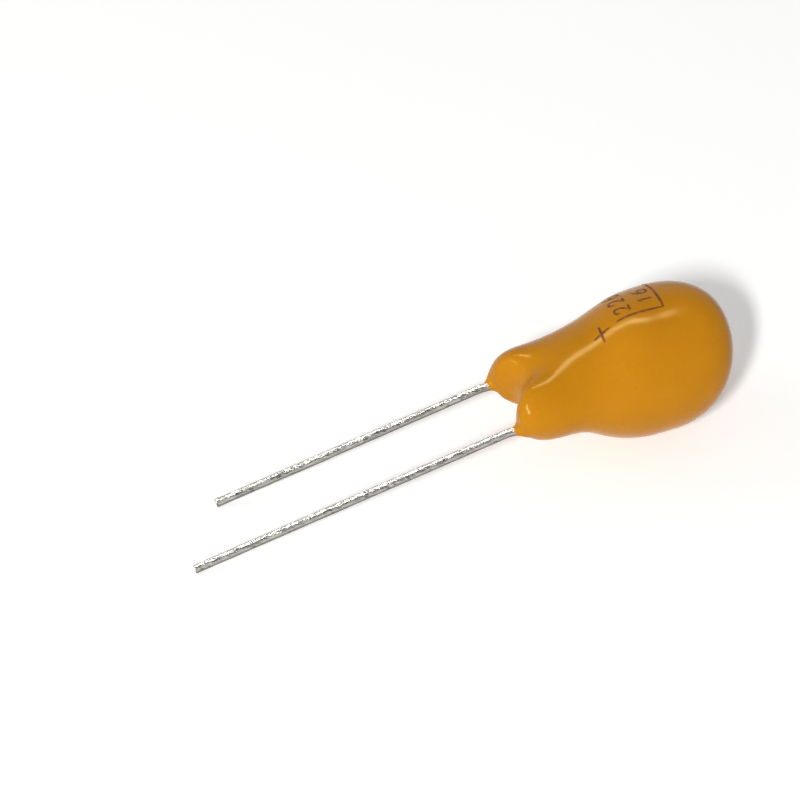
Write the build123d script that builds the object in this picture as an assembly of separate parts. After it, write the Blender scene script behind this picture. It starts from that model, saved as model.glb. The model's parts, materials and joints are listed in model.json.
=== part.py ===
from build123d import *
import math
import os

# Radial dipped tantalum capacitor, lying on its bulb and its two lead tips. Millimetres.
#
# It is modelled standing up, in the capacitor's own frame: the origin is midway between the two leads
# where they leave the resin, +Z runs up to the dome, +X to the negative lead and +Y out of the marked
# face. The last section lays it down: +X along the body from the lead tips to the dome, +Z up, and the
# origin under the middle of the whole part, on the surface that it lies on.

# ---------------------------------------------------------------- leads
lead_diameter = 0.5
lead_spacing = 4.35             # between the two axes where they leave the resin
positive_lead_length = 19.75    # outside the resin, along the wire
negative_lead_length = 17.15
lead_bend_drop = 0.6            # from the resin down to the slight bend that tips both leads back
lead_bend_radius = 1.6

# ---------------------------------------------------------------- resin coat
bulb_radius = 4.27
bulb_height = 9.5               # lead exits to where the dome begins
dome_height = 4.2
dome_fullness = 2.35             # 2 is an ellipse, and more is blunter
bulb_offset = 0.8               # the dome leans this far towards the negative lead
bulb_lift = 0.32                # and this far towards the marked face
apex_drift = 0.47                # the dome's top hangs this far back towards the positive lead
apex_lift = 1.02                 # and this much further towards the marked face
neck_half_width = 3.37
neck_half_thickness = 2.26
neck_lift = 0.71                # the neck is this much fuller on the marked face
nose_half_width = 2.46          # what the shoulders leave at the lead exits
nose_half_thickness = 0.65
side_shoulder_depth = 3.15       # heights over which the neck's sides and faces round off
face_shoulder_depth = 1.43
width_swell_start = 3.2         # heights between which the neck widens into the bulb
width_swell_end = 9.5
thickness_swell_start = 2.1
thickness_swell_end = 8.4
lift_settle_start = 3.2         # heights between which the lift passes from the neck's to the bulb's
lift_settle_end = 6.5
lean_start = 1.8                # and between which the body leans over towards the negative lead
lean_end = 11.2
saddle_radius = 1.8             # hollow between the two legs of the neck
saddle_depth = 1.0
saddle_flare = 0.4              # how much wider the hollow is at the two faces
saddle_overrun = 0.3            # how far the cut for it runs past the faces
meniscus_width = 0.36           # resin drawn along each lead
meniscus_root = 0.5             # how deep in the nose it begins
meniscus_reach = 0.4            # and how far along the wire it ends
meniscus_lip = 0.04             # its thickness there

# ---------------------------------------------------------------- anode and the coats on it
anode_radius = 2.05
anode_length = 5.9
anode_base_height = 6.2         # end face that the riser wire comes out of
anode_edge_chamfer = 0.45
anode_offset = 1.0              # the anode sits this far towards the negative lead
riser_diameter = 0.4
riser_embedded = 1.6
riser_exposed = 1.9
washer_radius = 0.75
washer_thickness = 0.3
manganese_thickness = 0.10
graphite_thickness = 0.06
silver_thickness = 0.06
solder_thickness = 0.20
graphite_margin = 0.6           # how far each coat stops short of the anode's riser end
silver_margin = 0.85
solder_margin = 1.1

# ---------------------------------------------------------------- joints inside
weld_flat_depth = 0.06          # how far the weld flattens each of its two wires
weld_clearance = 0.3            # end of the positive lead to the washer
positive_crank_height = 1.9     # where the positive lead turns in towards the riser
negative_crank_height = 2.9
negative_crank_drop = 0.2       # the negative lead is upright again this far below the anode
crank_radius = 0.8
solder_film = 0.05              # between the silver and the negative lead
solder_bead_radius = 0.40
solder_joint_length = 2.4
solder_joint_lap = 0.3          # bead beyond the end of the lead

# ---------------------------------------------------------------- worked out
SHOULDER_SLICES = [0, 0.07, 0.25, 0.55]      # shares of the face shoulder, closer where it turns
BODY_SLICES = 9
DOME_SLICES = 7
UPWARD = (Align.CENTER, Align.CENTER, Align.MIN)

lead_radius = lead_diameter / 2
riser_radius = riser_diameter / 2
positive_x = -lead_spacing / 2
negative_x = lead_spacing / 2

manganese_build = manganese_thickness
graphite_build = manganese_build + graphite_thickness
silver_build = graphite_build + silver_thickness
solder_build = silver_build + solder_thickness
solder_rim_height = anode_base_height + solder_margin

riser_foot_height = anode_base_height - riser_exposed
washer_base_height = anode_base_height - washer_thickness
weld_plane_x = anode_offset - (riser_radius - weld_flat_depth)
weld_lead_x = weld_plane_x - (lead_radius - weld_flat_depth)
weld_end_height = washer_base_height - weld_clearance
joint_lead_x = anode_offset + anode_radius + silver_build + solder_film + lead_radius
joint_end_height = solder_rim_height + solder_joint_length


# ---------------------------------------------------------------- resin
def ease(height, start, end):
    """0 below start and 1 above end, with no kink at either."""
    share = min(max((height - start) / (end - start), 0.0), 1.0)
    return math.sin(share * math.pi / 2) ** 2


def shoulder(height, depth):
    """Quarter ellipse: 0 at the lead exits and 1 from depth up."""
    return math.sqrt(1 - (1 - min(height / depth, 1.0)) ** 2)


def between(low, high, share):
    return low + (high - low) * share


def leaning_x(height):
    """How far the body's middle has leaned towards the negative lead."""
    return bulb_offset * ease(height, lean_start, lean_end)


def body_slice(height):
    """Oval section across the resin below the dome."""
    width_swell = ease(height, width_swell_start, width_swell_end)
    thickness_swell = ease(height, thickness_swell_start, thickness_swell_end)
    neck_width = between(nose_half_width, neck_half_width, shoulder(height, side_shoulder_depth))
    neck_thickness = between(nose_half_thickness, neck_half_thickness, shoulder(height, face_shoulder_depth))
    half_width = between(neck_width, bulb_radius, width_swell)
    half_thickness = between(neck_thickness, bulb_radius, thickness_swell)
    centre_y = between(neck_lift, bulb_lift, ease(height, lift_settle_start, lift_settle_end))
    return Plane((leaning_x(height), centre_y, height)) * Ellipse(half_width, half_thickness)


def dome_centre(share):
    """Middle of the dome's section, from its seat at share 0 to its top at share 1."""
    height = bulb_height + dome_height * share
    x = leaning_x(height) - apex_drift * share**2
    y = bulb_lift + apex_lift * share**2
    return (x, y, height)


def dome_slice(share):
    radius = bulb_radius * (1 - share**dome_fullness) ** (1 / dome_fullness)
    return Plane(dome_centre(share)) * Circle(radius)


def resin_pear():
    """The drop that dipping leaves: shouldered neck, swelling body, blunt dome."""
    heights = [face_shoulder_depth * share for share in SHOULDER_SLICES]
    step = (bulb_height - face_shoulder_depth) / BODY_SLICES
    heights += [face_shoulder_depth + step * i for i in range(BODY_SLICES + 1)]
    turns = [math.pi / 2 * i / DOME_SLICES for i in range(1, DOME_SLICES)]
    slices = [body_slice(height) for height in heights]
    slices += [dome_slice(math.sin(turn)) for turn in turns]
    return loft(slices + [Vertex(*dome_centre(1))])


def saddle_cutter():
    """Spool that leaves a web between the legs, hollow across and rounded from face to face."""
    half_width = neck_half_thickness + saddle_overrun
    edge = (saddle_radius + saddle_flare, half_width)
    waist = (saddle_radius, 0)
    far_edge = (saddle_radius + saddle_flare, -half_width)
    curve = ThreePointArc(edge, waist, far_edge)
    rest = Polyline(far_edge, (0, -half_width), (0, half_width), edge)
    spool = revolve(make_face(curve + rest), Axis.Y)
    return Pos(0, neck_lift, saddle_depth - saddle_radius) * spool


def meniscus(x):
    """Resin drawn along one lead: wide at the nose, thin where it ends on the wire."""
    root = (lead_radius + meniscus_width, meniscus_root)
    waist = (lead_radius + meniscus_width / 4, 0)
    tip = (lead_radius + meniscus_lip, -meniscus_reach)
    curve = ThreePointArc(tip, waist, root)
    rest = Polyline(root, (0, meniscus_root), (0, -meniscus_reach), tip)
    profile = Plane.XZ * make_face(curve + rest)
    return Pos(x, 0, 0) * revolve(profile, Axis.Z)


def resin_body(pear):
    """The whole resin form, before what it encloses is taken out of it."""
    body = pear - saddle_cutter()
    for x in (positive_x, negative_x):
        body += meniscus(x)
    return body


# ---------------------------------------------------------------- anode
def edge_chamfer(build):
    """Chamfer that keeps a coat of thickness build as thick over the anode's bevelled edge."""
    return anode_edge_chamfer + build * (2 - math.sqrt(2))


def jacket(build, rim_height):
    """Anode grown by build all round, from rim_height up over its closed end."""
    length = anode_base_height + anode_length + build - rim_height
    form = Pos(anode_offset, 0, rim_height) * Cylinder(anode_radius + build, length, align=UPWARD)
    top = form.edges().group_by(Axis.Z)[-1]
    return chamfer(top, edge_chamfer(build))


def pellet(build):
    """Anode grown by build all round, with both ends bevelled."""
    form = jacket(build, anode_base_height - build)
    base = form.edges().group_by(Axis.Z)[0]
    return chamfer(base, edge_chamfer(build))


def riser():
    wire = Cylinder(riser_radius, riser_exposed + riser_embedded, align=UPWARD)
    wire = Pos(anode_offset, 0, riser_foot_height) * wire
    length = weld_end_height - riser_foot_height
    flat = Box(riser_diameter, riser_diameter, length, align=(Align.MAX, Align.CENTER, Align.MIN))
    return wire - Pos(weld_plane_x, 0, riser_foot_height) * flat


def washer():
    disc = Cylinder(washer_radius, washer_thickness, align=UPWARD)
    return Pos(anode_offset, 0, washer_base_height) * disc


def solder_bead():
    """Solder drawn up round the end of the negative lead."""
    length = solder_joint_length + solder_joint_lap
    bead = Cylinder(solder_bead_radius, length, align=UPWARD)
    bead = chamfer(bead.edges().group_by(Axis.Z)[-1], solder_bead_radius / 2)
    return Pos(joint_lead_x, 0, solder_rim_height) * bead


# ---------------------------------------------------------------- leads
def wire(points, radii):
    """Round wire along straight runs joined by arcs."""
    path = FilletPolyline(*points, radius=radii)
    return sweep(Plane(origin=path @ 0, z_dir=path % 0) * Circle(lead_radius), path=path)


def lead_start(x, length, bend):
    """Tip of a lead and the corner where it bends back, outside the resin."""
    run = length - lead_bend_drop
    tip = (x, -run * math.sin(bend), -lead_bend_drop - run * math.cos(bend))
    return [tip, (x, 0, -lead_bend_drop)]


def positive_lead_wire(bend):
    """In from its tip, cranked to the riser wire and flattened where it is welded on."""
    points = lead_start(positive_x, positive_lead_length, bend)
    points += [
        (positive_x, 0, positive_crank_height),
        (weld_lead_x, 0, riser_foot_height),
        (weld_lead_x, 0, weld_end_height),
    ]
    lead = wire(points, [lead_bend_radius, crank_radius, crank_radius])
    length = weld_end_height - riser_foot_height
    flat = Box(lead_diameter, lead_diameter, length, align=(Align.MIN, Align.CENTER, Align.MIN))
    return lead - Pos(weld_plane_x, 0, riser_foot_height) * flat


def negative_lead_wire(bend):
    """In from its tip and cranked out to lie along the soldered side of the anode."""
    points = lead_start(negative_x, negative_lead_length, bend)
    points += [
        (negative_x, 0, negative_crank_height),
        (joint_lead_x, 0, anode_base_height - negative_crank_drop),
        (joint_lead_x, 0, joint_end_height),
    ]
    return wire(points, [lead_bend_radius, crank_radius, crank_radius])


# ---------------------------------------------------------------- laying it down
def lying_plane(roll, height):
    """The capacitor's own frame as it lies: level, and rolled about the body towards the longer lead."""
    return Plane((0, 0, height), x_dir=(0, math.cos(roll), -math.sin(roll)), z_dir=(1, 0, 0))


def belly_drop(pear, roll):
    """How far the lowest point of the resin lies below the frame's origin."""
    return -(lying_plane(roll, 0).location * pear).bounding_box().min.Z


def resting_pose(pear):
    """Height, roll and lead bend that bring the belly and both lead tips onto one surface.

    slope is the sine of the leads' fall. The longer lead falls further, so the body rolls to suit.
    """
    mean_run = (positive_lead_length + negative_lead_length) / 2 - lead_bend_drop
    roll, slope = 0.0, 0.0
    for _ in range(4):
        height = belly_drop(pear, roll)
        tip_centre = lead_radius * math.sqrt(1 - slope**2)
        slope = (height - tip_centre) / mean_run
        roll = math.asin((positive_lead_length - negative_lead_length) * slope / lead_spacing)
    return height, roll, math.asin(slope / math.cos(roll))


# ---------------------------------------------------------------- the part
pear = resin_pear()
height, roll, bend = resting_pose(pear)

positive = positive_lead_wire(bend)
negative = negative_lead_wire(bend)
manganese_jacket = pellet(manganese_build)
graphite_jacket = jacket(graphite_build, anode_base_height + graphite_margin)
silver_jacket = jacket(silver_build, anode_base_height + silver_margin)
solder_form = jacket(solder_build, solder_rim_height) + solder_bead()
enclosed = solder_form + silver_jacket + graphite_jacket + manganese_jacket
enclosed = enclosed + washer() + riser() + positive + negative

nodes = {
    "epoxy_coat": resin_body(pear) - enclosed,
    "solder_coat": solder_form - silver_jacket - negative,
    "silver_layer": silver_jacket - graphite_jacket - manganese_jacket,
    "graphite_layer": graphite_jacket - manganese_jacket,
    "manganese_dioxide_layer": manganese_jacket - pellet(0) - washer(),
    "tantalum_anode": pellet(0) - riser(),
    "anode_riser_wire": riser(),
    "ptfe_washer": washer() - riser(),
    "positive_lead": positive,
    "negative_lead": negative,
}

laid = {name: lying_plane(roll, height).location * shape for name, shape in nodes.items()}
boxes = [shape.bounding_box() for shape in laid.values()]
middle_x = (min(box.min.X for box in boxes) + max(box.max.X for box in boxes)) / 2
middle_y = (min(box.min.Y for box in boxes) + max(box.max.Y for box in boxes)) / 2
floor_z = min(box.min.Z for box in boxes)

os.makedirs("parts", exist_ok=True)
for name, shape in laid.items():
    export_step(Pos(-middle_x, -middle_y, -floor_z) * shape, f"parts/{name}.step")
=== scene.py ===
"""Radial dipped tantalum capacitor: glossy ochre resin, tinned wire leads and stamped ink marks.

The resin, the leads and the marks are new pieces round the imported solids. What the resin encloses keeps
its solids and gets its own finishes. Shapes are worked in millimetres and become metres in new_piece.
"""
import json
import math

import bmesh
import bpy
from mathutils import Matrix, Vector, noise
from mathutils.bvhtree import BVHTree


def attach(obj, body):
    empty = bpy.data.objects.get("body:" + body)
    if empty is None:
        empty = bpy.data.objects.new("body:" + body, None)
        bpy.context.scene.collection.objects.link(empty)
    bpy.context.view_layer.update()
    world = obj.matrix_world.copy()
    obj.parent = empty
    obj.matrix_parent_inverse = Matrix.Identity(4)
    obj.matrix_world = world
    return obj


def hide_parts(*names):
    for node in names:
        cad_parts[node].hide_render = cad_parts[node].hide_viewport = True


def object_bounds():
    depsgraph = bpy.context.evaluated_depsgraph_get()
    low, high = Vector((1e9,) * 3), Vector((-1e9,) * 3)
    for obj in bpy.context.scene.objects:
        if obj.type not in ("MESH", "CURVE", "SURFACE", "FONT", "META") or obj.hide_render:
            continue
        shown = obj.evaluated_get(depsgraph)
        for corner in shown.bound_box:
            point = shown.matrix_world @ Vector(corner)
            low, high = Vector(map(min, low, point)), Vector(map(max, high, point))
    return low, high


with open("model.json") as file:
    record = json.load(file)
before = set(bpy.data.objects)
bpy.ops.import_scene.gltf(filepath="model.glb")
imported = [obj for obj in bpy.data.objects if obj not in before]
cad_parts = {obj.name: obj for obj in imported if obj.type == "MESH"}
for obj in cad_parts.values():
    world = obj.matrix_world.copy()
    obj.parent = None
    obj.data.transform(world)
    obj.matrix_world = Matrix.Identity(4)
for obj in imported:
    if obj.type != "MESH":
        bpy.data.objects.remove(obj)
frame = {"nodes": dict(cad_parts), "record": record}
cad_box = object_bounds()

MM = 0.001

# ---------------------------------------------------------------- sizes, in millimetres
LEAD_BEND_RADIUS = 1.6
BEND_BELOW_EXIT = 0.6            # the leads' slight bend, from where they leave the resin
MENISCUS_REACH = 0.4             # resin drawn along the leads

RESIN_VOXEL = 0.085              # side of the skin's small squares
RESIN_CONTACT = 0.03             # skin nearer than this to an enclosed piece is inside
RESIN_SMOOTHINGS = 28
EXIT_SMOOTHINGS = 18             # near the leads the thin resin keeps more of its form
EXIT_ZONE = (0.45, 1.8)          # nearest and furthest of the change, from where a lead comes out
SHOULDER_REACH = 0.08            # how far the resin round the negative lead is drawn out along the wire
SHOULDER_SLANT = 0.30            # and how much further on the lead's outer side
SHOULDER_WIDTH = 1.1             # from the wire's axis to where the drawing out ends
SADDLE_HEIGHT = 0.9              # above the exits
SADDLE_PINCH = 0.42              # share by which the web between the leads is thinner at the saddle
SADDLE_PINCH_WIDTH = 1.15
SADDLE_PINCH_RISE = 1.25
WEB_MIDDLE = 0.7                 # the web's middle plane, out of the exits' plane
SADDLE_SMOOTHINGS = 120          # between the leads the resin flows together more
SADDLE_ZONE = (1.4, 3.0)         # full smoothing within, none beyond, of the saddle's middle
LEG_SWELL = 0.25                 # the drop that hangs under the positive lead's leg
LEG_SWELL_AT = (-1.9, 2.1, -1.4)   # across, along and out of the face, from the middle of the exits
LEG_SWELL_REACH = 2.3
RESIN_WAVES = [(0.010, 0.30), (0.002, 0.95)]      # height and pitch per millimetre

LEAD_SEGMENTS = 40
LEAD_STEP = 0.09                 # between rings of the wire's skin
LEAD_RUN_IN = 1.3                # new lead skin inside the resin
LEAD_END_BEVEL = 0.035
LEAD_DENTS = [(0.010, 0.9, 3.2), (0.005, 3.4, 6.5)]     # depth, pitch along and pitch across
DENTED_FROM = 0.6                # share of the radius, so that the middle of the cut end stays flat

INK_WIDTH = 0.155
INK_FLATNESS = 0.12              # height of a stroke over its width
INK_LIFT = 0.004
STROKE_ENDS = (0.62, 0.55)       # width at a stroke's two ends over its full width
ABOVE_FACE = 20                  # clear of the body, from where marks are laid down on it
DIGIT_HEIGHT = 0.86
DIGIT_WIDTH = 0.50
FRAME_CORNER = (0.0, 9.68)       # across from the middle and up from the lead exits
FRAME_SIDE = 2.9
FRAME_BASE = 3.3
FRAME_SLANT = (0.03, 0.05)       # how far the ends of its side and base stray
UPPER_ROW = (0.40, 7.85)         # left end and foot of each row of digits
LOWER_ROW = (0.70, 9.34)
DIGIT_PITCH = 0.93
PLUS_CENTRE = (-0.30, 5.80)
PLUS_ARMS = [(0.16, 0.51), (0.57, 0.03)]          # half of each stroke, right and down

ENCLOSED = [
    "solder_coat",
    "silver_layer",
    "graphite_layer",
    "manganese_dioxide_layer",
    "tantalum_anode",
    "anode_riser_wire",
    "ptfe_washer",
    "positive_lead",
    "negative_lead",
]


# ---------------------------------------------------------------- the capacitor's own directions
def pin(name):
    """Where a lead's straight part begins, its direction to the tip, its length and its radius."""
    mount = next(m for m in frame["record"]["mounts"] if m["name"] == name)
    axis = Vector(mount["axis"]).normalized()
    length = mount["dims"]["length_mm"]
    base = Vector(mount["pos_m"]) / MM - axis * length / 2
    return base, axis, length, mount["dims"]["r_mm"]


def corner(name):
    """Point of a lead's bend, where its two straight axes meet."""
    base, axis, _, _ = pin(name)
    bend = (-axis).angle(ALONG)
    return base - axis * LEAD_BEND_RADIUS * math.tan(bend / 2)


ALONG = Vector((1, 0, 0))                 # from the leads up to the dome
POSITIVE = corner("positive_lead_pin")
NEGATIVE = corner("negative_lead_pin")
ACROSS = (NEGATIVE - POSITIVE).normalized()
FACING = ALONG.cross(ACROSS)              # out of the marked face
ORIGIN = (POSITIVE + NEGATIVE) / 2 + ALONG * BEND_BELOW_EXIT
EXITS = [point + ALONG * BEND_BELOW_EXIT for point in (POSITIVE, NEGATIVE)]


def share_between(value, low, high):
    """0 at low and less, 1 at high and more."""
    return min(max((value - low) / (high - low), 0), 1)


# ---------------------------------------------------------------- mesh helpers
def new_piece(name, bm, material, replaces=()):
    """Adds an object from a mesh in millimetres, riding on the capacitor's one body."""
    bmesh.ops.scale(bm, vec=(MM, MM, MM), verts=bm.verts)
    mesh = bpy.data.meshes.new(name)
    bm.to_mesh(mesh)
    bm.free()
    mesh.shade_smooth()
    mesh.materials.append(material)
    piece = bpy.data.objects.new(name, mesh)
    bpy.context.collection.objects.link(piece)
    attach(piece, "root")
    if replaces:
        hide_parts(*replaces)


def cad_copy(*names):
    """Copy of CAD nodes in millimetres, with the doubled corners of their triangles merged."""
    bm = bmesh.new()
    for name in names:
        bm.from_mesh(frame["nodes"][name].data)
    bmesh.ops.remove_doubles(bm, verts=bm.verts, dist=1e-4 * MM)
    bmesh.ops.scale(bm, vec=(1 / MM, 1 / MM, 1 / MM), verts=bm.verts)
    return bm


def fill_openings(bm):
    """Closes every open edge loop with a face and returns the new faces."""
    edges = [edge for edge in bm.edges if edge.is_boundary]
    return bmesh.ops.holes_fill(bm, edges=edges, sides=0)["faces"]


def keep_joined(bm, start):
    """Deletes everything that isn't joined to the vertex start."""
    joined = {start}
    fresh = [start]
    while fresh:
        vert = fresh.pop()
        for edge in vert.link_edges:
            other = edge.other_vert(vert)
            if other not in joined:
                joined.add(other)
                fresh.append(other)
    loose = [vert for vert in bm.verts if vert not in joined]
    bmesh.ops.delete(bm, geom=loose, context="VERTS")


def evaluated(obj):
    """obj's mesh after its modifiers and bevel, as a bmesh. obj is removed."""
    bpy.context.collection.objects.link(obj)
    graph = bpy.context.evaluated_depsgraph_get()
    mesh = bpy.data.meshes.new_from_object(obj.evaluated_get(graph))
    bm = bmesh.new()
    bm.from_mesh(mesh)
    bpy.data.meshes.remove(mesh)
    bpy.data.objects.remove(obj)
    return bm


def remeshed(bm, voxel):
    """bm as an even net of small squares."""
    mesh = bpy.data.meshes.new("uneven")
    bm.to_mesh(mesh)
    bm.free()
    uneven = bpy.data.objects.new("uneven", mesh)
    remesh = uneven.modifiers.new("even", "REMESH")
    remesh.mode = "VOXEL"
    remesh.voxel_size = voxel
    return evaluated(uneven)


def smooth(bm, passes):
    """Smooths each vertex as often as passes says."""
    for turn in range(math.ceil(max(passes.values()))):
        verts = [vert for vert in passes if passes[vert] > turn]
        bmesh.ops.smooth_vert(
            bm, verts=verts, factor=0.5, use_axis_x=True, use_axis_y=True, use_axis_z=True,
        )


# ---------------------------------------------------------------- resin
def exit_distance(vert):
    """How far a vertex is from where the nearer lead comes out."""
    return min((vert.co - point).length for point in EXITS)


def resin_outside():
    """Outside of the resin, closed across the two holes that the leads come out of."""
    skin = cad_copy("epoxy_coat")
    enclosed = cad_copy(*ENCLOSED)
    tree = BVHTree.FromBMesh(enclosed)
    enclosed.free()
    inner = []
    for face in skin.faces:
        distance = tree.find_nearest(face.calc_center_median())[3]
        if distance < RESIN_CONTACT:
            inner.append(face)
    bmesh.ops.delete(skin, geom=inner, context="FACES")
    keep_joined(skin, max(skin.verts, key=lambda vert: vert.co.x))
    fill_openings(skin)
    return skin


def settle_resin(bm):
    """Smooths the skin as flowing resin does, least where it thins out along the leads."""
    passes = {}
    for vert in bm.verts:
        share = share_between(exit_distance(vert), *EXIT_ZONE)
        passes[vert] = EXIT_SMOOTHINGS + share * (RESIN_SMOOTHINGS - EXIT_SMOOTHINGS)
    smooth(bm, passes)


def fill_shoulder(bm):
    """Draws the shoulder round the negative lead out along the wire, as the resin ran."""
    for vert in bm.verts:
        offset = vert.co - EXITS[1]
        height = offset.dot(ALONG)
        out = offset - ALONG * height
        if height < -MENISCUS_REACH / 2:
            continue
        around = 1 - min(out.length / SHOULDER_WIDTH, 1)
        behind = 1 - min(max(height, 0) / SHOULDER_WIDTH, 1)
        share = math.sin(math.pi / 2 * min(1, 2 * around)) ** 2 * behind**2
        slant = out.dot(ACROSS) / max(out.length, SHOULDER_WIDTH / 4)
        vert.co -= ALONG * (SHOULDER_REACH + SHOULDER_SLANT * slant) * share


def pinch_saddle(bm):
    """Thins the web between the leads towards the saddle, so that the marked face rolls over gently."""
    for vert in bm.verts:
        offset = vert.co - ORIGIN
        across = offset.dot(ACROSS) / SADDLE_PINCH_WIDTH
        above = max(offset.dot(ALONG) - SADDLE_HEIGHT, 0) / SADDLE_PINCH_RISE
        share = SADDLE_PINCH * math.exp(-(across**2) - above**2)
        vert.co -= FACING * (offset.dot(FACING) - WEB_MIDDLE) * share


def soften_saddle(bm):
    """Rounds the edge where the marked face rolls over into the saddle between the leads."""
    middle = ORIGIN + ALONG * SADDLE_HEIGHT
    passes = {}
    for vert in bm.verts:
        offsets = [vert.co - point for point in EXITS]
        lead_distance = min((offset - ALONG * offset.dot(ALONG)).length for offset in offsets)
        share = 1 - share_between((vert.co - middle).length, *SADDLE_ZONE)
        share *= share_between(lead_distance, *EXIT_ZONE)
        if share > 0:
            passes[vert] = share * SADDLE_SMOOTHINGS
    smooth(bm, passes)


def swell_leg(bm):
    """Hangs a slight drop of resin under the leg that the positive lead comes out of."""
    across, along, facing = LEG_SWELL_AT
    middle = ORIGIN + ACROSS * across + ALONG * along + FACING * facing
    bm.normal_update()
    for vert in bm.verts:
        share = 1 - min((vert.co - middle).length / LEG_SWELL_REACH, 1)
        vert.co += vert.normal * LEG_SWELL * math.sin(math.pi / 2 * share) ** 2


def ripple_resin(bm):
    """Slow unevenness of a dipped coat, which shows in its reflections."""
    bm.normal_update()
    shifts = []
    for vert in bm.verts:
        share = min(exit_distance(vert) / EXIT_ZONE[1], 1)
        height = sum(high * noise.noise(vert.co * pitch) for high, pitch in RESIN_WAVES)
        shifts.append((vert, vert.normal * height * share))
    for vert, shift in shifts:
        vert.co += shift


def make_resin(material):
    """The resin's skin, in place of its solid. Returns a tree that the marks are laid onto."""
    bm = remeshed(resin_outside(), RESIN_VOXEL)
    keep_joined(bm, max(bm.verts, key=lambda vert: vert.co.x))
    fill_shoulder(bm)
    pinch_saddle(bm)
    settle_resin(bm)
    soften_saddle(bm)
    swell_leg(bm)
    ripple_resin(bm)
    tree = BVHTree.FromBMesh(bm)
    new_piece("resin_coat", bm, material, replaces=["epoxy_coat"])
    return tree


# ---------------------------------------------------------------- leads
def run_on(bm, ring, step, count):
    """Draws a ring of edges out along a straight line and returns the ring at its end."""
    drawn = bmesh.ops.spin(bm, geom=ring, cent=(0, 0, 0), axis=(0, 0, 1), dvec=step, angle=0, steps=count)
    return drawn["geom_last"]


def lead_outside(base, axis, length, radius):
    """The lead from its cut end, round its slight bend and a little way into the resin."""
    inward = -axis
    bend = inward.angle(ALONG)
    hinge = inward.cross(ALONG).normalized()
    centre = base + hinge.cross(inward) * LEAD_BEND_RADIUS
    bm = bmesh.new()
    turn = Vector((0, 0, 1)).rotation_difference(inward).to_matrix().to_4x4()
    place = Matrix.Translation(base + axis * length) @ turn
    bmesh.ops.create_circle(bm, segments=LEAD_SEGMENTS, radius=radius, matrix=place)
    steps = round(length / LEAD_STEP)
    last = run_on(bm, bm.verts[:] + bm.edges[:], inward * length / steps, steps)
    bent = bmesh.ops.spin(
        bm, geom=last, cent=centre, axis=hinge, dvec=(0, 0, 0), angle=bend,
        steps=max(2, round(LEAD_BEND_RADIUS * bend / LEAD_STEP)),
    )
    steps = round(LEAD_RUN_IN / LEAD_STEP)
    run_on(bm, bent["geom_last"], ALONG * LEAD_RUN_IN / steps, steps)
    bmesh.ops.remove_doubles(bm, verts=bm.verts, dist=1e-4)
    ends = fill_openings(bm)
    cut_end = min(ends, key=lambda face: face.calc_center_median().x)
    bmesh.ops.bevel(
        bm, geom=cut_end.edges[:], offset=LEAD_END_BEVEL, segments=3, profile=0.5,
        affect="EDGES", material=-1,
    )
    bmesh.ops.recalc_face_normals(bm, faces=bm.faces)
    return bm


def dent_lead(bm, base, axis, radius):
    """Shallow handling and drawing marks in the tin, longer along the wire than across it."""
    side = axis.cross(FACING).normalized()
    other = axis.cross(side)
    for vert in bm.verts:
        offset = vert.co - base
        out = offset - axis * offset.dot(axis)
        if offset.dot(axis) < 0 or out.length < DENTED_FROM * radius:
            continue
        shift = 0
        for depth, pitch_along, pitch_across in LEAD_DENTS:
            along = offset.dot(axis) * pitch_along
            across = (out.dot(side) * pitch_across, out.dot(other) * pitch_across)
            shift += depth * noise.noise(Vector((along, *across)))
        vert.co += out.normalized() * shift


def lead_inside(node, cut_x):
    """The rest of the lead's solid, from cut_x on into the resin."""
    bm = cad_copy(node)
    bmesh.ops.bisect_plane(
        bm, geom=bm.verts[:] + bm.edges[:] + bm.faces[:], plane_co=(cut_x, 0, 0), plane_no=(1, 0, 0),
        clear_inner=True,
    )
    fill_openings(bm)
    return bm


def make_lead(node, pin_name, material):
    """One lead: a new, dented outside, joined to the hidden rest of its solid."""
    base, axis, length, radius = pin(pin_name)
    bm = lead_outside(base, axis, length, radius)
    dent_lead(bm, base, axis, radius)
    inside = lead_inside(node, max(vert.co.x for vert in bm.verts))
    rest = bpy.data.meshes.new("rest")
    inside.to_mesh(rest)
    inside.free()
    bm.from_mesh(rest)
    bpy.data.meshes.remove(rest)
    new_piece(node + "_wire", bm, material, replaces=[node])


# ---------------------------------------------------------------- ink marks
def stroke(points):
    """Round-ended stroke through a few points, given as right and up on the marked face."""
    curve = bpy.data.curves.new("stroke", "CURVE")
    curve.dimensions = "3D"
    curve.bevel_depth = INK_WIDTH / 2
    curve.bevel_resolution = 3
    curve.resolution_u = 16
    curve.use_fill_caps = True
    spline = curve.splines.new("NURBS")
    spline.points.add(len(points) - 1)
    for spot, (right, up) in zip(spline.points, points):
        spot.co = (right, up, 0, 1)
    spline.points[0].radius, spline.points[-1].radius = STROKE_ENDS
    spline.order_u = 3
    spline.use_endpoint_u = True
    return evaluated(bpy.data.objects.new("stroke", curve))


def line(start, end, pieces=6):
    """Points of a straight stroke, close enough together for it to follow the face."""
    return [tuple(a + (b - a) * i / pieces for a, b in zip(start, end)) for i in range(pieces + 1)]


# Strokes of each digit, as shares of its width and height.
DIGITS = {
    "1": [[(0.15, 0.72), (0.5, 0.98), (0.52, 1.0)], [(0.52, 1.0), (0.5, 0.6), (0.5, 0.3), (0.5, 0.0)]],
    "2": [[(0.02, 0.74), (0.08, 1.0), (0.5, 1.04), (0.95, 0.95), (0.9, 0.55), (0.4, 0.25), (0.0, 0.02)],
          [(0.0, 0.02), (0.3, 0.03), (0.65, 0.02), (1.0, 0.0)]],
    "6": [[(0.85, 1.0), (0.35, 0.9), (0.0, 0.55), (0.0, 0.05), (0.45, -0.04), (0.95, 0.02), (0.98, 0.5),
           (0.55, 0.58), (0.1, 0.5), (0.04, 0.3)]],
}


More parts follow.
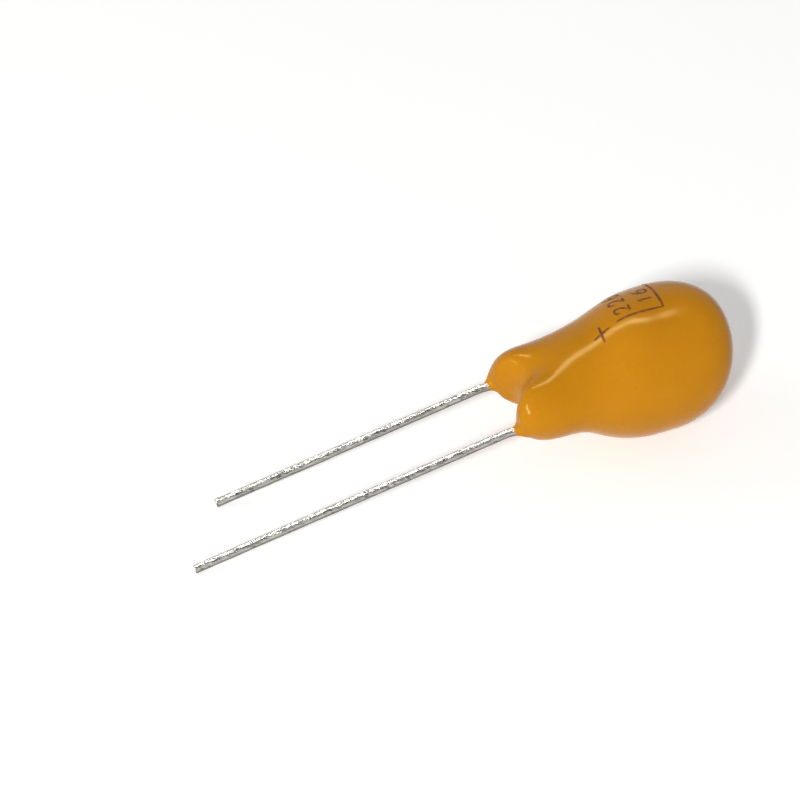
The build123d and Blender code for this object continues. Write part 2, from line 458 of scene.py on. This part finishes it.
def wrap_onto(tree, bm):
    """Lays a flat mark, given as right, up and out, onto the marked face of the resin."""
    for vert in bm.verts:
        right, up, out = vert.co
        above = ORIGIN + ACROSS * right - ALONG * up + FACING * ABOVE_FACE
        spot, normal, _, _ = tree.ray_cast(above, -FACING)
        vert.co = spot + normal * (INK_LIFT + out * INK_FLATNESS)
    bmesh.ops.recalc_face_normals(bm, faces=bm.faces)


def make_mark(name, strokes, tree, material):
    """One mark from several strokes."""
    bm = bmesh.new()
    for points in strokes:
        drawn = stroke(points)
        mesh = bpy.data.meshes.new("drawn")
        drawn.to_mesh(mesh)
        drawn.free()
        bm.from_mesh(mesh)
        bpy.data.meshes.remove(mesh)
    wrap_onto(tree, bm)
    new_piece(name, bm, material)


def make_digits(name, digits, row, tree, material):
    """One row of digits, each a mark of its own."""
    left, foot = row
    for i, digit in enumerate(digits):
        strokes = []
        for points in DIGITS[digit]:
            placed = [
                (left + i * DIGIT_PITCH + x * DIGIT_WIDTH, -foot + y * DIGIT_HEIGHT) for x, y in points
            ]
            strokes.append(placed)
        make_mark(f"{name}_{i + 1}", strokes, tree, material)


def make_marks(tree, material):
    """The corner frame with its two rows of digits, and the plus beside it."""
    right, height = FRAME_CORNER
    start = (right, -height)
    side = line(start, (right - FRAME_SLANT[0], -height + FRAME_SIDE))
    base = line(start, (right + FRAME_BASE, -height - FRAME_SLANT[1]), pieces=10)
    make_mark("value_frame_mark", [side, base], tree, material)

    make_digits("upper_digit_mark", "226", UPPER_ROW, tree, material)
    make_digits("lower_digit_mark", "16", LOWER_ROW, tree, material)

    middle = Vector((PLUS_CENTRE[0], -PLUS_CENTRE[1]))
    halves = [Vector((right, -down)) for right, down in PLUS_ARMS]
    arms = [line(middle - half, middle + half, pieces=4) for half in halves]
    make_mark("plus_mark", arms, tree, material)


# ---------------------------------------------------------------- material helpers
def new_material(name):
    """Material with a Principled shader, as (material, nodes, links, shader)."""
    material = bpy.data.materials.new(name)
    material.use_nodes = True
    nodes = material.node_tree.nodes
    return material, nodes, material.node_tree.links, nodes["Principled BSDF"]


def settings(shader, **values):
    """Sets the shader's own sockets, named with underscores for spaces."""
    for name, value in values.items():
        shader.inputs[name.replace("_", " ")].default_value = value


def grey(value):
    return (value, value, value, 1)


def new_group(name, inputs, outputs):
    """Node group whose inputs name a socket type and a default value, and whose outputs a socket type."""
    group = bpy.data.node_groups.new(name, "ShaderNodeTree")
    for label, (kind, value) in inputs.items():
        socket = group.interface.new_socket(label, in_out="INPUT", socket_type=kind)
        if value is not None:
            socket.default_value = value
    for label, kind in outputs.items():
        group.interface.new_socket(label, in_out="OUTPUT", socket_type=kind)
    entry = group.nodes.new("NodeGroupInput")
    leave = group.nodes.new("NodeGroupOutput")
    return group, group.nodes, group.links, entry, leave


def maths(nodes, links, operation, first, second, clamp=False):
    """Math node whose operands are sockets or numbers."""
    node = nodes.new("ShaderNodeMath")
    node.operation = operation
    node.use_clamp = clamp
    for socket, value in zip(node.inputs, (first, second)):
        if hasattr(value, "is_output"):
            links.new(value, socket)
        else:
            socket.default_value = value
    return node.outputs[0]


def blend_colours(nodes, links, factor, first, second):
    """Mix node for colours whose operands are sockets or colours."""
    node = nodes.new("ShaderNodeMix")
    node.data_type = "RGBA"
    for name, value in (("Factor_Float", factor), ("A_Color", first), ("B_Color", second)):
        socket = next(s for s in node.inputs if s.identifier == name)
        if hasattr(value, "is_output"):
            links.new(value, socket)
        else:
            socket.default_value = value
    return next(s for s in node.outputs if s.identifier == "Result_Color")


def map_range(nodes, links, value, before, after, smooth_step=False):
    """value carried over from the range before to the range after, and kept inside it."""
    node = nodes.new("ShaderNodeMapRange")
    if smooth_step:
        node.interpolation_type = "SMOOTHSTEP"
    node.inputs["From Min"].default_value, node.inputs["From Max"].default_value = before
    node.inputs["To Min"].default_value, node.inputs["To Max"].default_value = after
    links.new(value, node.inputs["Value"])
    return node.outputs["Result"]


SPECK_SHARPNESS = 60


def mottle_group():
    """Cloudy variation: an even colour drifts between a darker and a lighter tone of itself."""
    inputs = {
        "Vector": ("NodeSocketVector", None),
        "Scale": ("NodeSocketFloat", 300),
        "Amount": ("NodeSocketFloat", 0.1),
        "Color": ("NodeSocketColor", grey(0.5)),
    }
    outputs = {"Color": "NodeSocketColor", "Cloud": "NodeSocketFloat"}
    group, nodes, links, entry, leave = new_group("mottle", inputs, outputs)
    cloud = nodes.new("ShaderNodeTexNoise")
    cloud.inputs["Detail"].default_value = 4
    links.new(entry.outputs["Vector"], cloud.inputs["Vector"])
    links.new(entry.outputs["Scale"], cloud.inputs["Scale"])
    centred = maths(nodes, links, "SUBTRACT", cloud.outputs["Fac"], 0.5)
    swing = maths(nodes, links, "MULTIPLY", centred, entry.outputs["Amount"])
    gain = maths(nodes, links, "MULTIPLY_ADD", swing, 2.0)
    gain.node.inputs[2].default_value = 1.0
    scaled = nodes.new("ShaderNodeVectorMath")
    scaled.operation = "SCALE"
    links.new(entry.outputs["Color"], scaled.inputs[0])
    links.new(gain, scaled.inputs["Scale"])
    links.new(scaled.outputs[0], leave.inputs["Color"])
    links.new(cloud.outputs["Fac"], leave.inputs["Cloud"])
    return group


def specks_group():
    """Few small round specks, thinned out at random."""
    inputs = {
        "Vector": ("NodeSocketVector", None),
        "Scale": ("NodeSocketFloat", 800),
        "Size": ("NodeSocketFloat", 0.06),
        "Share": ("NodeSocketFloat", 0.2),
    }
    group, nodes, links, entry, leave = new_group("specks", inputs, {"Mask": "NodeSocketFloat"})
    cells = nodes.new("ShaderNodeTexVoronoi")
    links.new(entry.outputs["Vector"], cells.inputs["Vector"])
    links.new(entry.outputs["Scale"], cells.inputs["Scale"])
    chance = nodes.new("ShaderNodeSeparateColor")
    links.new(cells.outputs["Color"], chance.inputs["Color"])
    chosen = maths(nodes, links, "LESS_THAN", chance.outputs["Red"], entry.outputs["Share"])
    closeness = maths(nodes, links, "SUBTRACT", entry.outputs["Size"], cells.outputs["Distance"])
    sharp = maths(nodes, links, "MULTIPLY", closeness, SPECK_SHARPNESS, clamp=True)
    links.new(maths(nodes, links, "MULTIPLY", chosen, sharp), leave.inputs["Mask"])
    return group


def relief_group():
    """Surface relief from two noises of different size, as a height."""
    inputs = {
        "Vector": ("NodeSocketVector", None),
        "Coarse Scale": ("NodeSocketFloat", 1000),
        "Fine Scale": ("NodeSocketFloat", 6000),
        "Fine Share": ("NodeSocketFloat", 0.4),
    }
    group, nodes, links, entry, leave = new_group("relief", inputs, {"Height": "NodeSocketFloat"})
    heights = []
    for label in ("Coarse Scale", "Fine Scale"):
        texture = nodes.new("ShaderNodeTexNoise")
        texture.inputs["Detail"].default_value = 3
        links.new(entry.outputs["Vector"], texture.inputs["Vector"])
        links.new(entry.outputs[label], texture.inputs["Scale"])
        heights.append(texture.outputs["Fac"])
    fine = maths(nodes, links, "MULTIPLY", heights[1], entry.outputs["Fine Share"])
    links.new(maths(nodes, links, "ADD", heights[0], fine), leave.inputs["Height"])
    return group


GROUPS = {"mottle": mottle_group(), "specks": specks_group(), "relief": relief_group()}


def place_group(nodes, links, name, vector, **values):
    """Group node reading vector, with its other inputs set by name."""
    node = nodes.new("ShaderNodeGroup")
    node.node_tree = GROUPS[name]
    links.new(vector, node.inputs["Vector"])
    for label, value in values.items():
        node.inputs[label.replace("_", " ")].default_value = value
    return node


def own_coordinates(nodes, links, stretch=(1, 1, 1)):
    """Object coordinates, stretched along the piece where its grain runs one way."""
    source = nodes.new("ShaderNodeTexCoord")
    mapping = nodes.new("ShaderNodeMapping")
    mapping.inputs["Scale"].default_value = stretch
    links.new(source.outputs["Object"], mapping.inputs["Vector"])
    return mapping.outputs["Vector"]


def facing_down(nodes, links, none_at, full_at):
    """0 where the surface's direction rises by none_at or more, 1 where it rises by full_at or less."""
    source = nodes.new("ShaderNodeTexCoord")
    split = nodes.new("ShaderNodeSeparateXYZ")
    links.new(source.outputs["Normal"], split.inputs["Vector"])
    return map_range(nodes, links, split.outputs["Z"], (none_at, full_at), (0, 1))


def bump(nodes, links, shader, height, depth):
    """Feeds the shader's normal with a bump of depth metres, from a height between 0 and 1."""
    node = nodes.new("ShaderNodeBump")
    node.inputs["Strength"].default_value = 1.0
    node.inputs["Distance"].default_value = depth
    links.new(height, node.inputs["Height"])
    links.new(node.outputs["Normal"], shader.inputs["Normal"])


def vary_roughness(nodes, links, shader, cloud, low, high):
    """Roughness that drifts from low to high with a mottle's cloud."""
    roughness = map_range(nodes, links, cloud, CLOUD_RANGE, (low, high))
    links.new(roughness, shader.inputs["Roughness"])


# ---------------------------------------------------------------- finishes
CLOUD_RANGE = (0.3, 0.7)               # in which most of a mottle's cloud lies

RESIN_COLOUR = (0.562, 0.222, 0.008, 1)
RESIN_GLOSS_TINT = (1.0, 0.92, 0.34, 1)
RESIN_ROUGHNESS = (0.14, 0.20)
RESIN_RELIEF = 0.000004                # depth in metres, as for the tin
DARK_SPECK_COLOUR = (0.22, 0.07, 0.01, 1)
DARK_SPECK_SHARE = 0.45                # how much of its colour shows
PALE_SPECK_COLOUR = (0.85, 0.62, 0.22, 1)
PALE_SPECK_SHARE = 0.35

TIN_COLOUR = (0.52, 0.505, 0.465, 1)
TIN_ROUGHNESS = (0.18, 0.36)
TIN_RELIEF = 0.000075
PIT_COLOUR = (0.10, 0.095, 0.085, 1)
PIT_SHARE = 0.62
# painted shade: the wire's colour is darkened where its surface faces down
UNDERSIDE_SHADE_COLOUR = (0.105, 0.098, 0.080, 1)
UNDERSIDE_SHADE_SHARE = 0.78
UNDERSIDE_SHADE_RISE = (0.42, -0.02)           # rise of the surface where the painted shade begins and is full

INK_COLOUR = (0.200, 0.062, 0.010, 1)
INK_ROUGHNESS = (0.35, 0.55)
INK_WORN_RANGE = (0.52, 0.72)          # of the mottle's cloud, over which the ink thins
INK_WORN_SHARE = 0.55

COAT_ROUGHNESS_DRIFT = 0.08


def resin_finish():
    """Glossy golden ochre: cloudy pigment, a few dark and pale specks, a smooth skin."""
    material, nodes, links, shader = new_material("dipped_resin")
    settings(shader, Specular_IOR_Level=0.11, Specular_Tint=RESIN_GLOSS_TINT)
    where = own_coordinates(nodes, links)
    broad = place_group(nodes, links, "mottle", where, Scale=210, Amount=0.16, Color=RESIN_COLOUR)
    fine = place_group(nodes, links, "mottle", where, Scale=5200, Amount=0.07)
    links.new(broad.outputs["Color"], fine.inputs["Color"])
    dark = place_group(nodes, links, "specks", where, Scale=520, Size=0.035, Share=0.12)
    pale = place_group(nodes, links, "specks", where, Scale=430, Size=0.022, Share=0.10)
    dark_share = maths(nodes, links, "MULTIPLY", dark.outputs["Mask"], DARK_SPECK_SHARE)
    pale_share = maths(nodes, links, "MULTIPLY", pale.outputs["Mask"], PALE_SPECK_SHARE)
    colour = blend_colours(nodes, links, dark_share, fine.outputs["Color"], DARK_SPECK_COLOUR)
    colour = blend_colours(nodes, links, pale_share, colour, PALE_SPECK_COLOUR)
    links.new(colour, shader.inputs["Base Color"])
    vary_roughness(nodes, links, shader, broad.outputs["Cloud"], *RESIN_ROUGHNESS)
    relief = place_group(
        nodes, links, "relief", where, Coarse_Scale=700, Fine_Scale=3200, Fine_Share=0.15,
    )
    bump(nodes, links, shader, relief.outputs["Height"], depth=RESIN_RELIEF)
    return material


def tin_finish():
    """Dull tinned wire: fine drawn streaks, hammered dimples, and painted shade on the underside."""
    material, nodes, links, shader = new_material("tinned_wire")
    settings(shader, Metallic=1.0)
    along = own_coordinates(nodes, links, stretch=(0.16, 1, 1))
    around = own_coordinates(nodes, links, stretch=(0.45, 1, 1))
    streaks = place_group(nodes, links, "mottle", along, Scale=6500, Amount=0.60, Color=TIN_COLOUR)
    pits = place_group(nodes, links, "specks", around, Scale=5200, Size=0.34, Share=0.48)
    pit_share = maths(nodes, links, "MULTIPLY", pits.outputs["Mask"], PIT_SHARE)
    colour = blend_colours(nodes, links, pit_share, streaks.outputs["Color"], PIT_COLOUR)
    # painted shade: darkens the colour on the downward-facing side of the wire
    underside = facing_down(nodes, links, *UNDERSIDE_SHADE_RISE)
    underside_shade_share = maths(nodes, links, "MULTIPLY", underside, UNDERSIDE_SHADE_SHARE)
    colour = blend_colours(nodes, links, underside_shade_share, colour, UNDERSIDE_SHADE_COLOUR)
    links.new(colour, shader.inputs["Base Color"])
    vary_roughness(nodes, links, shader, streaks.outputs["Cloud"], *TIN_ROUGHNESS)
    relief = place_group(
        nodes, links, "relief", around, Coarse_Scale=4200, Fine_Scale=11000, Fine_Share=0.5,
    )
    bump(nodes, links, shader, relief.outputs["Height"], depth=TIN_RELIEF)
    return material


def ink_finish():
    """Thin brown stamping ink, worn through to the resin in places."""
    material, nodes, links, shader = new_material("stamped_ink")
    settings(shader, Specular_IOR_Level=0.10)
    where = own_coordinates(nodes, links)
    body = place_group(nodes, links, "mottle", where, Scale=3800, Amount=0.5, Color=INK_COLOUR)
    wear = map_range(nodes, links, body.outputs["Cloud"], INK_WORN_RANGE, (0, INK_WORN_SHARE))
    colour = blend_colours(nodes, links, wear, body.outputs["Color"], RESIN_COLOUR)
    links.new(colour, shader.inputs["Base Color"])
    vary_roughness(nodes, links, shader, body.outputs["Cloud"], *INK_ROUGHNESS)
    return material


def coat_finish(name, colour, metallic, roughness, scale, depth, amount):
    """Finish of one of the thin coats, wires and pellets inside."""
    material, nodes, links, shader = new_material(name)
    settings(shader, Metallic=metallic)
    where = own_coordinates(nodes, links)
    body = place_group(nodes, links, "mottle", where, Scale=scale, Amount=amount, Color=colour)
    links.new(body.outputs["Color"], shader.inputs["Base Color"])
    low, high = roughness - COAT_ROUGHNESS_DRIFT, roughness + COAT_ROUGHNESS_DRIFT
    vary_roughness(nodes, links, shader, body.outputs["Cloud"], low, high)
    coarse, fine = scale * 1.5, scale * 6
    relief = place_group(
        nodes, links, "relief", where, Coarse_Scale=coarse, Fine_Scale=fine, Fine_Share=0.5,
    )
    bump(nodes, links, shader, relief.outputs["Height"], depth=depth)
    return material


# For each enclosed node: finish, colour, metallic share, roughness, scale of the mottle,
# depth of the relief in metres, and amount of the mottle.
INNER_FINISHES = {
    "solder_coat": ("dull_solder", (0.46, 0.46, 0.45, 1), 1.0, 0.42, 900, 0.00003, 0.25),
    "silver_layer": ("silver_paint", (0.60, 0.60, 0.58, 1), 0.9, 0.55, 2500, 0.00001, 0.2),
    "graphite_layer": ("graphite_paint", (0.035, 0.035, 0.038, 1), 0.2, 0.6, 2200, 0.00001, 0.4),
    "manganese_dioxide_layer": (
        "manganese_dioxide", (0.032, 0.027, 0.025, 1), 0.0, 0.85, 3200, 0.00003, 0.5,
    ),
    "tantalum_anode": ("sintered_tantalum", (0.16, 0.16, 0.18, 1), 0.7, 0.75, 6000, 0.00003, 0.5),
    "anode_riser_wire": ("tantalum_wire", (0.42, 0.41, 0.43, 1), 1.0, 0.35, 3500, 0.000006, 0.2),
    "ptfe_washer": ("ptfe", (0.86, 0.86, 0.84, 1), 0.0, 0.5, 1500, 0.000006, 0.05),
}


def dress_inside():
    """Gives each enclosed node its finish."""
    for node, values in INNER_FINISHES.items():
        material = coat_finish(*values)
        mesh = frame["nodes"][node].data
        mesh.materials.clear()
        mesh.materials.append(material)


# ---------------------------------------------------------------- studio
VIEW_HEIGHT = math.radians(45.81)
VIEW_TURN = math.radians(19.02)
VIEW_DISTANCE = 0.1808           # metres, as all lengths from here on
VIEW_LENS = 138.4
AIM_FROM_MIDDLE = Vector((-0.0013, 0.0055, 0))
LAMP_DISTANCE = 0.5
SKY_RISE = (0.0, 0.8)            # of a ray, over which the sky's light changes
SKY_LIGHT = (0.20, 0.30)         # low down and overhead
BACKDROP_RISE = (0.35, 0.70)     # of a ray, over which white backdrop turns to grey ceiling
BACKDROP_LIGHT = (1.0, 0.25)
FLOOR_COLOUR = (0.90, 0.90, 0.885, 1)
FLOOR_LIFT = 0.28                # glow that brings the lit floor to white
FLOOR_REACH = 1.5


def towards(x, y, z):
    """Direction given as right, away and up for someone facing the way the camera does."""
    turned = Matrix.Rotation(-VIEW_TURN, 3, "Z") @ Vector((x, y, z))
    return turned.normalized()


def floor_middle():
    """Point of the floor under the middle of the capacitor."""
    low, high = cad_box
    return Vector(((low.x + high.x) / 2, (low.y + high.y) / 2, 0))


def add_camera():
    """Camera with a long lens, looking down at the capacitor from the front."""
    data = bpy.data.cameras.new("camera")
    data.lens = VIEW_LENS
    data.clip_start = 0.005
    camera = bpy.data.objects.new("camera", data)
    bpy.context.collection.objects.link(camera)
    back = towards(0, -math.cos(VIEW_HEIGHT), math.sin(VIEW_HEIGHT))
    camera.location = floor_middle() + AIM_FROM_MIDDLE + back * VIEW_DISTANCE
    camera.rotation_euler = back.to_track_quat("Z", "Y").to_euler()
    bpy.context.scene.camera = camera


def add_lamp(
    name, direction, size, irradiance, long_size=None, long_way=None, lights=True, mirrored=True,
):
    """Soft lamp over the object.

    irradiance is what it gives a surface that faces it, with 1 as a plain level. lights says whether it
    lights the object, and mirrored whether glossy surfaces show it.
    """
    data = bpy.data.lights.new(name, "AREA")
    data.shape = "RECTANGLE" if long_size else "DISK"
    data.size = size
    if long_size:
        data.size_y = long_size
    data.energy = irradiance * math.pi**2 * LAMP_DISTANCE**2
    lamp = bpy.data.objects.new(name, data)
    bpy.context.collection.objects.link(lamp)
    lamp.location = floor_middle() + direction * LAMP_DISTANCE
    lamp.visible_diffuse = lights
    lamp.visible_glossy = mirrored
    if long_way is None:
        lamp.rotation_euler = direction.to_track_quat("Z", "Y").to_euler()
    else:
        sideways = long_way.cross(direction).normalized()
        upright = direction.cross(sideways)
        lamp.rotation_euler = Matrix((sideways, upright, direction)).transposed().to_euler()


def add_lamps():
    """Two soft lamps and the sky give the light. The strips only show as gloss in the resin and tin."""
    add_lamp(
        "key_lamp", towards(-0.230, -0.724, 0.650), size=0.035, irradiance=0.80,
        long_size=0.07, long_way=towards(0.35, -0.67, -0.65), mirrored=False,
    )
    add_lamp("left_lamp", towards(-0.87, 0.25, 0.44), size=0.30, irradiance=0.15, mirrored=False)
    add_lamp(
        "overhead_strip", towards(-0.10, 0.43, 0.90), size=0.065, irradiance=0.75,
        long_size=0.36, long_way=towards(1, 0, 0), lights=False,
    )
    add_lamp(
        "front_left_strip", towards(-0.64, -0.58, 0.51), size=0.045, irradiance=0.95,
        long_size=0.30, long_way=towards(0.45, -0.85, -0.10), lights=False,
    )


def seen_rays(nodes, links):
    """1 for what the camera sees directly, mirrored or through glass, and 0 for light on the object."""
    path = nodes.new("ShaderNodeLightPath")
    seen = path.outputs["Is Camera Ray"]
    for name in ("Is Glossy Ray", "Is Transmission Ray"):
        seen = maths(nodes, links, "MAXIMUM", seen, path.outputs[name])
    return seen


def add_world():
    """White backdrop all round under a grey ceiling, and a plain sky that lights the object."""
    world = bpy.data.worlds.new("studio")
    bpy.context.scene.world = world
    world.use_nodes = True
    nodes, links = world.node_tree.nodes, world.node_tree.links
    background = nodes["Background"]
    direction = nodes.new("ShaderNodeTexCoord")
    split = nodes.new("ShaderNodeSeparateXYZ")
    links.new(direction.outputs["Generated"], split.inputs["Vector"])
    rise = split.outputs["Z"]
    sky = map_range(nodes, links, rise, SKY_RISE, SKY_LIGHT, smooth_step=True)
    backdrop = map_range(nodes, links, rise, BACKDROP_RISE, BACKDROP_LIGHT, smooth_step=True)
    shown = blend_colours(nodes, links, seen_rays(nodes, links), sky, backdrop)
    links.new(shown, background.inputs["Color"])


def add_floor():
    """Pale floor that the object's shadow falls on."""
    bm = bmesh.new()
    bmesh.ops.create_grid(bm, x_segments=1, y_segments=1, size=FLOOR_REACH)
    mesh = bpy.data.meshes.new("floor")
    bm.to_mesh(mesh)
    bm.free()
    floor = bpy.data.objects.new("floor", mesh)
    bpy.context.collection.objects.link(floor)
    material, nodes, links, shader = new_material("pale_floor")
    settings(shader, Base_Color=FLOOR_COLOUR, Roughness=0.9, Specular_IOR_Level=0.0)
    lift = maths(nodes, links, "MULTIPLY", seen_rays(nodes, links), FLOOR_LIFT)
    shader.inputs["Emission Color"].default_value = grey(1.0)
    links.new(lift, shader.inputs["Emission Strength"])
    mesh.materials.append(material)


resin_tree = make_resin(resin_finish())
tin = tin_finish()
make_lead("positive_lead", "positive_lead_pin", tin)
make_lead("negative_lead", "negative_lead_pin", tin)
make_marks(resin_tree, ink_finish())
dress_inside()

add_floor()
add_world()
add_lamps()
add_camera()
bpy.context.scene.view_settings.view_transform = "Standard"
